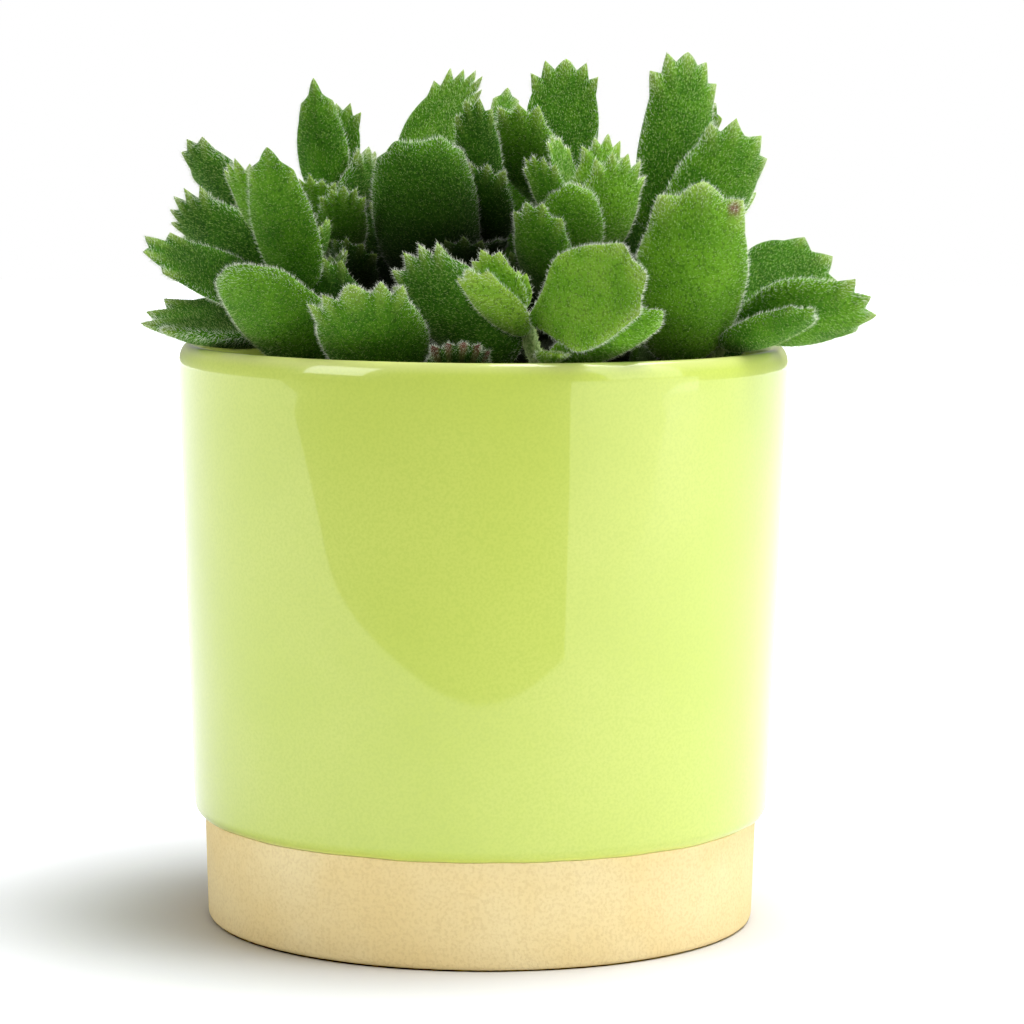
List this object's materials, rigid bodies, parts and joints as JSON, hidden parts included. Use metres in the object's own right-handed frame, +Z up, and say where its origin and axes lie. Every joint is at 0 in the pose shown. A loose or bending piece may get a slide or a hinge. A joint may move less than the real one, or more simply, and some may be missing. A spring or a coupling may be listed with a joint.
{
  "type": "potted bears paw succulent",
  "caption": "Bears paw succulent with thick felted leaves, toothed at the end, on a branched stem in a round lime-glazed pot with a bare clay foot.",
  "frame": {"origin": "centre of the pot's flat bottom, on the surface that it stands on", "axes": "+Z up along the pot's axis; the pictured side faces -Y, with the plant's widest spread along X"},
  "size_m": [0.1525, 0.1475, 0.185],
  "materials": {
    "pot_glaze": "gloss",
    "soil": "matte",
    "stem_felt": "matte",
    "leaf_felt": "matte"
  },
  "bodies": {
    "root": {"leaf_back_1": "leaf_felt", "leaf_back_2": "leaf_felt", "leaf_back_3": "leaf_felt", "leaf_back_4": "leaf_felt", "leaf_back_5": "leaf_felt", "leaf_back_left_1": "leaf_felt", "leaf_back_left_2": "leaf_felt", "leaf_back_left_3": "leaf_felt", "leaf_back_left_4": "leaf_felt", "leaf_back_left_5": "leaf_felt", "leaf_back_right_1": "leaf_felt", "leaf_back_right_2": "leaf_felt", "leaf_back_right_3": "leaf_felt", "leaf_back_right_4": "leaf_felt", "leaf_back_right_5": "leaf_felt", "leaf_centre_1": "leaf_felt", "leaf_centre_2": "leaf_felt", "leaf_centre_3": "leaf_felt", "leaf_centre_4": "leaf_felt", "leaf_centre_5": "leaf_felt", "leaf_far_right_1": "leaf_felt", "leaf_far_right_2": "leaf_felt", "leaf_far_right_3": "leaf_felt", "leaf_far_right_4": "leaf_felt", "leaf_front_1": "leaf_felt", "leaf_front_2": "leaf_felt", "leaf_front_3": "leaf_felt", "leaf_front_4": "leaf_felt", "leaf_front_5": "leaf_felt", "leaf_front_6": "leaf_felt", "leaf_front_left_1": "leaf_felt", "leaf_front_left_2": "leaf_felt", "leaf_left_1": "leaf_felt", "leaf_left_2": "leaf_felt", "leaf_left_3": "leaf_felt", "leaf_left_4": "leaf_felt", "leaf_left_5": "leaf_felt", "leaf_left_6": "leaf_felt", "leaf_left_7": "leaf_felt", "leaf_mid_back_1": "leaf_felt", "leaf_mid_back_2": "leaf_felt", "leaf_mid_back_3": "leaf_felt", "leaf_mid_left_1": "leaf_felt", "leaf_mid_left_2": "leaf_felt", "leaf_mid_left_3": "leaf_felt", "leaf_mid_left_4": "leaf_felt", "leaf_mid_left_5": "leaf_felt", "leaf_right_1": "leaf_felt", "leaf_right_2": "leaf_felt", "leaf_right_3": "leaf_felt", "leaf_right_4": "leaf_felt", "leaf_rosette_1": "leaf_felt", "leaf_rosette_2": "leaf_felt", "leaf_rosette_3": "leaf_felt", "leaf_rosette_4": "leaf_felt", "leaf_rosette_5": "leaf_felt", "leaf_rosette_6": "leaf_felt", "pot": "pot_glaze", "soil": "soil", "stem": "stem_felt"}
  },
  "joints": []
}
